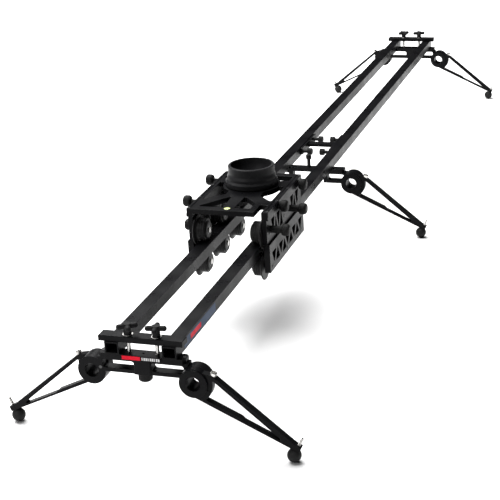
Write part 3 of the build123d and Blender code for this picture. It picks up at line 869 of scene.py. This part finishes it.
def joint_of(name: str) -> dict:
    """A joint of the record, by name."""
    return next(joint for joint in frame["record"]["behaviour"]["joints"] if joint["name"] == name)


def tinted(mesh: bpy.types.Mesh, place: int) -> bpy.types.Mesh:
    """Gives every face of a mesh one place in the piece's list of finishes."""
    for face in mesh.polygons:
        face.material_index = place
    return mesh


@dataclass
class RibbedGrip:
    """Ribs round a thumb knob's rim, so that fingers hold it."""

    rib: float = 0.0005
    spacing: float = 0.0021
    share: float = 0.62

    def build(self, shop: Workshop, low: Vector, high: Vector, axis: Axis) -> bpy.types.Mesh:
        """Ribs round one knob.

        Args:
            shop: finishes and shapes.
            low: lowest corner of the knob's round part.
            high: highest corner of it.
            axis: the way its axis runs.

        Returns:
            The ribs in their place.
        """
        along = abs((high - low).dot(axis.vector()))
        spans = [high[i] - low[i] for i in range(3) if abs(axis.value[i]) < 0.5]
        radius = min(spans) / 2
        ribs = shop.shapes.ribs.make(
            Count=int(math.tau * radius / self.spacing), Radius=radius - self.rib * 0.35, Rib=self.rib,
            Length=along * self.share, Finish=shop.finishes.plastic)
        return moved(ribs, placing((low + high) / 2, axis.vector()))


@dataclass
class Rails:
    """The two rails, their joint and its knobs."""

    mark_start: float = -1.372
    mark_end: float = -1.185
    red_start: float = -1.336
    red_end: float = -1.275
    mark_rise: float = 0.0035
    mark_thickness: float = 0.0003
    bridge_plate: float = 0.006
    knob_length: float = 0.014
    knob_reach: float = 0.014
    knob_radius: float = 0.0095

    def dress(self, shop: Workshop) -> None:
        """Finishes of the CAD nodes."""
        fin = shop.finishes
        shop.dress(["rail_left", "rail_right"], fin.rail)
        shop.dress(["rail_splices", "joint_bridge"], fin.bracket)
        shop.dress(["joint_screws"], fin.dark_steel)
        shop.dress(["joint_knobs"], fin.plastic)

    def sticker(self, shop: Workshop) -> None:
        """Plain slate band with a red patch on the outer side of the right rail."""
        rail = Box.of("rail_right")
        face = rail.low.y
        low, high = rail.low.z + self.mark_rise, rail.high.z - self.mark_rise
        bands = {
            "rail_mark": (self.mark_start, self.mark_end, 1.0, shop.finishes.slate),
            "rail_mark_patch": (self.red_start, self.red_end, 1.6, shop.finishes.red),
        }
        for name, (start, end, lift, finish) in bands.items():
            inset = 0.0 if lift == 1.0 else (high - low) * 0.22
            mesh = slab(Vector((start, face - self.mark_thickness * lift, low + inset)),
                        Vector((end, face + self.mark_thickness, high - inset)))
            shop.fit(name, mesh, finish, "frame")

    def grips(self, shop: Workshop) -> None:
        """Ribs on the four knobs of the joint."""
        knobs, bridge = Box.of("joint_knobs"), Box.of("joint_bridge")
        inner = bridge.high.y - self.bridge_plate - self.knob_reach
        ribs = []
        for side in Side:
            for x in (knobs.low.x + self.knob_radius, knobs.high.x - self.knob_radius):
                near, far = side.value * inner, side.value * (inner - self.knob_length)
                low = Vector((x - self.knob_radius, min(near, far), knobs.low.z))
                high = Vector((x + self.knob_radius, max(near, far), knobs.high.z))
                ribs.append(RibbedGrip().build(shop, low, high, Axis.ACROSS))
        shop.fit("joint_knob_ribs", joined(ribs), shop.finishes.plastic, "frame")

    def build(self, shop: Workshop) -> None:
        """Dresses the rails and adds their small pieces."""
        self.dress(shop)
        self.sticker(shop)
        self.grips(shop)


@dataclass
class Brackets:
    """The brackets under the rails, with clamp bars, bolts and knobs."""

    pad_reach: float = 0.0155
    mark_depth: float = 0.0004
    mark_low: float = 0.1835
    mark_high: float = 0.1915
    red_outer: float = 0.0400
    red_inner: float = 0.0015
    dash_count: int = 9
    bolt_radius: float = 0.004
    thread_start: float = 0.0105
    post_knob_height: float = 0.014
    round_knob_height: float = 0.017
    screw_radius: float = 0.0032
    side_screw: Point = (0.0112, 0.0900, 0.1600)
    flange_screw_y: float = 0.0855

    def dress(self, shop: Workshop) -> None:
        """Finishes of the CAD nodes."""
        fin = shop.finishes
        shop.dress(["end_bracket_front", "end_bracket_rear", "centre_bracket", "clamp_bar_front",
                    "clamp_bar_rear"], fin.bracket)
        shop.dress(["centre_post"], fin.plastic)
        shop.dress(["clamp_bolts"], fin.steel)
        shop.dress([f"star_knob_{end}_{side.word}" for end in ("front", "rear") for side in Side],
                   fin.plastic)
        shop.dress(["bracket_knob_front", "bracket_knob_rear"], fin.plastic)

    def marks(self, shop: Workshop) -> None:
        """Red bar and a row of white dashes on each end bracket's label pad."""
        for end, sign in (("front", -1), ("rear", 1)):
            face = Box.of(f"clamp_bar_{end}").middle.x + sign * self.pad_reach
            near, far = sorted((face - sign * self.mark_depth, face + sign * self.mark_depth))
            red = slab(Vector((near, self.red_inner, self.mark_low)),
                       Vector((far, self.red_outer, self.mark_high)))
            shop.fit(f"bracket_mark_{end}", red, shop.finishes.red, "frame")
            pitch = (self.red_outer - self.red_inner) / self.dash_count
            dashes = []
            for place in range(self.dash_count):
                start = -self.red_inner - place * pitch
                width = pitch * (0.72 if place % 3 else 0.5)
                dashes.append(slab(Vector((near, start - width, self.mark_low + 0.001)),
                                   Vector((far, start, self.mark_high - 0.001))))
            shop.fit(f"bracket_dashes_{end}", joined(dashes), shop.finishes.white, "frame")

    def threads(self, shop: Workshop) -> None:
        """Threads on the clamp bolts between the bracket and the clamp bar."""
        bolts = Box.of("clamp_bolts")
        ridges = []
        for end, sign in (("front", -1), ("rear", 1)):
            bar_box = Box.of(f"clamp_bar_{end}")
            for side in Side:
                knob = Box.of(f"star_knob_{end}_{side.word}")
                foot = Vector((bar_box.middle.x, knob.middle.y, bolts.low.z + self.thread_start))
                ridge = shop.shapes.thread.make(
                    Radius=self.bolt_radius - 0.0001, Pitch=0.00125, Length=bar_box.low.z - foot.z - 0.0005,
                    Ridge=0.00035, Finish=shop.finishes.steel)
                ridges.append(moved(ridge, Matrix.Translation(foot)))
        shop.fit("bolt_threads", joined(ridges), shop.finishes.steel, "frame")

    def grips(self, shop: Workshop) -> None:
        """Ribs on the round knobs."""
        for end in ("front", "rear"):
            knob = Box.of(f"bracket_knob_{end}")
            round_top = Vector((knob.high.x, knob.high.y, knob.low.z + self.round_knob_height))
            ribs = RibbedGrip(share=0.55).build(shop, knob.low, round_top, Axis.UP)
            shop.fit(f"bracket_knob_ribs_{end}", ribs, shop.finishes.plastic, f"bracket_knob_{end}")
        post = Box.of("centre_post")
        low = Vector((post.low.x, post.low.y, post.high.z - self.post_knob_height))
        ribs = RibbedGrip().build(shop, low, post.high, Axis.UP)
        shop.fit("post_knob_ribs", ribs, shop.finishes.plastic, "frame")

    def screws(self, shop: Workshop) -> None:
        """Small socket screws: one under each label pad and two through each end of the flange."""
        places = []
        proud, side_y, side_z = self.side_screw
        for end, sign in (("front", -1), ("rear", 1)):
            bar_box = Box.of(f"clamp_bar_{end}")
            rail_top = bar_box.low.z
            seat = rail_top - Box.of("rail_left").size.z
            for side in Side:
                places.append((Vector((bar_box.middle.x + sign * proud, side.value * side_y, side_z)),
                               Axis.ALONG.vector(sign)))
                places.append((Vector((bar_box.middle.x, side.value * self.flange_screw_y, seat + 0.0003)),
                               Axis.UP.vector()))
        heads = shop.shapes.screws.make(points_mesh(places), Radius=self.screw_radius, Head=0.0012,
                                        Finish=shop.finishes.dark_steel)
        shop.fit("bracket_screws", heads, shop.finishes.dark_steel, "frame")

    def build(self, shop: Workshop) -> None:
        """Dresses the brackets and adds their small pieces."""
        self.dress(shop)
        self.marks(shop)
        self.threads(shop)
        self.grips(shop)
        self.screws(shop)


@dataclass
class Leg:
    """One swinging leg with its clamp screw and its ball foot."""

    station: Station
    side: Side
    ear_out: float = 0.0375
    ear_up: float = 0.0155
    screw_lean: float = 0.38
    screw_radius: float = 0.0042
    head_radius: float = 0.0068
    head_height: float = 0.0065
    neck: float = 0.003
    ball_radius: float = 0.0145
    ball_flat: float = 0.0125
    moulding_line: float = 0.00015
    screw_size: float = 0.003
    screw_length: float = 0.042

    @property
    def body(self) -> str:
        """The leg's CAD body."""
        return f"leg_{self.station.value}_{self.side.word}"

    @property
    def foot(self) -> str:
        """The foot's CAD body."""
        return f"foot_{self.station.value}_{self.side.word}"

    def clamp_screw(self, shop: Workshop) -> None:
        """Bright socket screw that pinches the split ring."""
        hub = Vector(joint_of(f"{self.body}_swing")["pos_m"])
        out = Axis.ACROSS.vector(self.side.value)
        axis = (Axis.UP.vector() + out * self.screw_lean).normalized()
        base = hub + out * self.ear_out + Axis.UP.vector() * self.ear_up
        neck = bar(self.screw_radius, self.neck, base, axis)
        shop.fit(f"clamp_screw_{self.station.value}_{self.side.word}", neck, shop.finishes.steel, self.body)
        crown = points_mesh([(base + axis * (self.neck + self.head_height / 2), axis)])
        head = shop.shapes.screws.make(crown, Radius=self.head_radius, Head=self.head_height,
                                       Finish=shop.finishes.steel)
        shop.fit(f"clamp_screw_head_{self.station.value}_{self.side.word}", head, shop.finishes.steel,
                 self.body)

    def ball_foot(self, shop: Workshop) -> None:
        """Rubber ball with a flat top and a moulding line, on a threaded screw with a chamfered end."""
        box = Box.of(self.foot)
        down = Vector(joint_of(f"{self.foot}_screw")["axis"]).normalized()
        up = -down
        centre = Vector((box.middle.x, 0, box.low.z + self.ball_radius))
        centre.y = box.high.y - self.ball_radius if self.side is Side.LEFT else box.low.y + self.ball_radius
        if up.y * self.side.value > 0:
            edge = box.low.y if self.side is Side.LEFT else box.high.y
            centre.y = edge + self.side.value * self.ball_radius
        steps = 22
        flat = math.asin(self.ball_flat / self.ball_radius)
        profile = []
        for step in range(steps + 1):
            angle = -math.pi / 2 + (flat + math.pi / 2) * step / steps
            reach = (self.ball_radius - self.moulding_line) * math.cos(angle)
            profile.append((0.0 if step == 0 else reach, self.ball_radius * math.sin(angle)))
            if abs(angle) < 0.09:
                profile[-1] = (reach + self.moulding_line, profile[-1][1])
        top = profile[-1][1]
        profile += [(self.screw_size * 1.5, top), (self.screw_size * 1.5, top - 0.001), (0.0, top - 0.001)]
        ball = moved(lathe(profile, 44), placing(centre, up))
        shop.fit(f"ball_{self.station.value}_{self.side.word}", ball, shop.finishes.rubber, self.foot,
                 stands_for=[self.foot])
        reach = self.screw_length
        shaft = bar(self.screw_size * 0.93, reach - top + 0.002, centre + up * (top - 0.002), up)
        shop.fit(f"foot_screw_{self.station.value}_{self.side.word}", shaft, shop.finishes.steel,
                 self.foot)
        thread = shop.shapes.thread.make(Radius=self.screw_size * 0.94, Pitch=0.001,
                                         Length=reach - top - 0.002,
                                         Ridge=0.0003, Finish=shop.finishes.steel)
        shop.fit(f"foot_thread_{self.station.value}_{self.side.word}",
                 moved(thread, placing(centre + up * top, up)),
                 shop.finishes.steel, self.foot)

    def build(self, shop: Workshop) -> None:
        """Dresses the leg and adds its screw and its foot."""
        shop.dress([self.body], shop.finishes.leg)
        self.clamp_screw(shop)
        self.ball_foot(shop)


@dataclass
class Wheel:
    """One flanged wheel with the ball bearing in its inner face."""

    row: str
    side: Side
    place: str
    seat: float = 0.011
    race: float = 0.0018
    bore: float = 0.00405
    seat_depth: float = 0.002

    @property
    def body(self) -> str:
        """The wheel's CAD body."""
        return f"{self.row}_wheel_{self.side.word}_{self.place}"

    def bearing(self, shop: Workshop) -> None:
        """Steel races with a dark shield between them."""
        box = Box.of(self.body)
        inner = min(abs(box.low.y), abs(box.high.y))
        base = Vector((box.middle.x, self.side.value * (inner + self.seat_depth), box.middle.z))
        face = self.seat_depth * 0.85
        rings = ((self.seat - self.race, self.seat, face, 1), (self.bore, self.bore + self.race, face, 0),
                 (self.bore + self.race, self.seat - self.race, face * 0.8, 1))
        parts = []
        for near, far, height, finish in rings:
            ring = lathe([(near, 0.0), (far, 0.0), (far, height), (near, height)], 32)
            parts.append(tinted(ring, finish))
        mesh = moved(joined(parts), placing(base, Axis.ACROSS.vector(-self.side.value)))
        shop.fit(f"bearing_{self.body}", mesh, shop.finishes.steel, self.body,
                 more=[shop.finishes.dark_steel])

    def build(self, shop: Workshop) -> None:
        """Dresses the wheel and seats its bearing."""
        shop.dress([self.body], shop.finishes.wheel)
        self.bearing(shop)


@dataclass
class Carriage:
    """Platform, bowl, level, side plates, axles and thumb knobs."""

    level_ring: float = 0.0016
    knob_length: float = 0.020
    plate_screw: float = 0.0034
    head_screw: float = 0.0030

    def dress(self, shop: Workshop) -> None:
        """Finishes of the CAD nodes."""
        fin = shop.finishes
        shop.dress(["platform"], fin.carriage)
        shop.dress(["upper_side_plates", "lower_side_plate_left", "lower_side_plate_right"], fin.carriage)
        shop.dress(["bowl"], fin.bowl)
        shop.dress(["upper_axles", "lower_axles_left", "lower_axles_right"], fin.steel)

    def level(self, shop: Workshop) -> None:
        """Bubble level: black ring and a dome of pale liquid."""
        box = Box.of("bubble_level")
        radius = box.size.x / 2
        top = box.high.z - box.low.z
        base = Vector((box.middle.x, box.middle.y, box.low.z))
        inner = radius - self.level_ring
        cup = lathe([(0.0, 0.0), (radius, 0.0), (radius, top - 0.0006), (radius - 0.0004, top - 0.0002),
                     (inner, top - 0.0002), (inner, top - 0.0016), (0.0, top - 0.0016)], 40)
        shop.fit("level_cup", moved(cup, Matrix.Translation(base)), shop.finishes.plastic, "carriage",
                 stands_for=["bubble_level"])
        dome = [(0.0, top - 0.0015), (inner, top - 0.0015)]
        for step in range(7):
            angle = math.pi / 2 * step / 6
            dome.append((inner * math.cos(angle), top - 0.0009 + 0.0009 * math.sin(angle)))
        dome[-1] = (0.0, top)
        vial = moved(lathe(dome, 40), Matrix.Translation(base))
        shop.fit("level_vial", vial, shop.finishes.liquid, "carriage")

    def knobs(self, shop: Workshop) -> None:
        """Finishes and ribs of the eight thumb knobs."""
        for family in ("platform_knob", "truck_knob"):
            for side in Side:
                for place in ("front", "rear"):
                    body = f"{family}_{side.word}_{place}"
                    shop.dress([body], shop.finishes.plastic)
                    box = Box.of(body)
                    low, high = box.low.copy(), box.high.copy()
                    if side is Side.LEFT:
                        low.y = high.y - self.knob_length
                    else:
                        high.y = low.y + self.knob_length
                    ribs = RibbedGrip(share=0.5).build(shop, low, high, Axis.ACROSS)
                    shop.fit(f"ribs_{body}", ribs, shop.finishes.plastic, body)

    def screws(self, shop: Workshop) -> None:
        """Socket heads on the axle ends outside the plates, and along the platform's side bars."""
        platform = Box.of("platform")
        top_places, rows = [], {}
        for side in Side:
            for share in (0.03, 0.3, 0.62, 0.97):
                x = platform.low.x + platform.size.x * share
                top_places.append((Vector((x, side.value * (platform.high.y - 0.004), platform.high.z)),
                                   Axis.UP.vector()))
            upper, lower = [], []
            lower_plate = Box.of(f"lower_side_plate_{side.word}")
            faces = {"upper": side.value * Box.of("upper_side_plates").high.y,
                     "lower": lower_plate.high.y if side is Side.LEFT else lower_plate.low.y}
            for place in ("front", "middle", "rear"):
                for row, group in (("upper", upper), ("lower", lower)):
                    wheel = Box.of(f"{row}_wheel_{side.word}_{place}")
                    face = faces[row]
                    group.append((Vector((wheel.middle.x, face, wheel.middle.z)),
                                  Axis.ACROSS.vector(side.value)))
            rows[f"lower_truck_{side.word}"] = lower
            rows.setdefault("carriage", []).extend(upper)
        heads = shop.shapes.screws.make(points_mesh(top_places), Radius=self.head_screw, Head=0.0008,
                                        Finish=shop.finishes.dark_steel)
        shop.fit("platform_screws", heads, shop.finishes.dark_steel, "carriage")
        for body, places in rows.items():
            heads = shop.shapes.screws.make(points_mesh(places), Radius=self.plate_screw + 0.001,
                                            Head=0.0016,
                                            Finish=shop.finishes.dark_steel)
            shop.fit(f"axle_ends_{body}", heads, shop.finishes.dark_steel, body)

    def build(self, shop: Workshop) -> None:
        """Dresses the carriage and adds its small pieces."""
        self.dress(shop)
        self.level(shop)
        self.knobs(shop)
        self.screws(shop)


# ---------------------------------------------------------------- stage


@dataclass(frozen=True)
class Lamp:
    """Soft square light."""

    name: str
    place: Point
    aim: Point
    size: float
    power: float


@dataclass
class Stage:
    """Pale floor, soft lights and the camera."""

    floor_reach: float = 30.0
    camera_place: Point = (-3.451, -0.920, 1.249)
    camera_turn: tuple[float, float, float] = (69.0809, 2.9738, -72.5457)
    lens: float = 91.0
    sky: float = 0.015
    lamps: tuple[Lamp, ...] = (
        Lamp("top_light", (0.6, 1.6, 4.2), (0.0, 0.0, 0.0), 5.0, 760.0),
        Lamp("front_light", (-4.5, 2.0, 2.6), (-0.8, 0.0, 0.2), 2.0, 60.0),
    )

    def floor(self, finish: bpy.types.Material) -> None:
        """Lays the floor.

        Args:
            finish: the floor's material.
        """
        work = bmesh.new()
        bmesh.ops.create_grid(work, x_segments=2, y_segments=2, size=self.floor_reach)
        mesh = bpy.data.meshes.new("floor")
        work.to_mesh(mesh)
        work.free()
        add_object("floor", mesh, finish)

    def lights(self) -> None:
        """Hangs the lights, sets the sky and keeps colours as they are lit."""
        for lamp in self.lamps:
            light = bpy.data.lights.new(lamp.name, "AREA")
            light.shape = "SQUARE"
            light.size = lamp.size
            light.energy = lamp.power
            holder = bpy.data.objects.new(lamp.name, light)
            holder.location = lamp.place
            way = Vector(lamp.aim) - Vector(lamp.place)
            holder.rotation_euler = way.to_track_quat("-Z", "Y").to_euler()
            bpy.context.scene.collection.objects.link(holder)
        world = bpy.data.worlds.new("studio")
        world.use_nodes = True
        sky = world.node_tree.nodes["Background"]
        sky.inputs["Color"].default_value = (1.0, 1.0, 1.0, 1.0)
        sky.inputs["Strength"].default_value = self.sky
        bpy.context.scene.world = world
        bpy.context.scene.view_settings.view_transform = "Standard"

    def camera(self) -> None:
        """Sets the camera."""
        data = bpy.data.cameras.new("camera")
        data.lens = self.lens
        camera = bpy.data.objects.new("camera", data)
        camera.location = self.camera_place
        camera.rotation_euler = Euler([math.radians(turn) for turn in self.camera_turn])
        bpy.context.scene.collection.objects.link(camera)
        bpy.context.scene.camera = camera

    def build(self, finishes: Finishes) -> None:
        """Builds the floor, the lights and the camera."""
        self.floor(finishes.floor)
        self.lights()
        self.camera()


# ---------------------------------------------------------------- assembly


def corners(bounds: Sequence[Iterable[float]]) -> list[list[float]]:
    """A box as plain lists of numbers."""
    return [[float(value) for value in corner] for corner in bounds]


def main() -> None:
    """Builds every sub-assembly in order."""
    logging.basicConfig(level=logging.INFO, format="%(name)s: %(message)s")
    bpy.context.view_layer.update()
    shop = Workshop(Finishes(Box.of("bowl").middle.x), Shapes())
    assemblies = [Rails(), Brackets()]
    assemblies += [Leg(station, side) for station in Station for side in Side]
    assemblies += [Wheel(row, side, place) for row in ("upper", "lower") for side in Side
                   for place in ("front", "middle", "rear")]
    assemblies += [Carriage()]
    for assembly in assemblies:
        assembly.build(shop)
        log.info("built %s", type(assembly).__name__)
    Stage().build(shop.finishes)
    log.info("made %d pieces", len(shop.made))


if __name__ == "__main__":
    main()
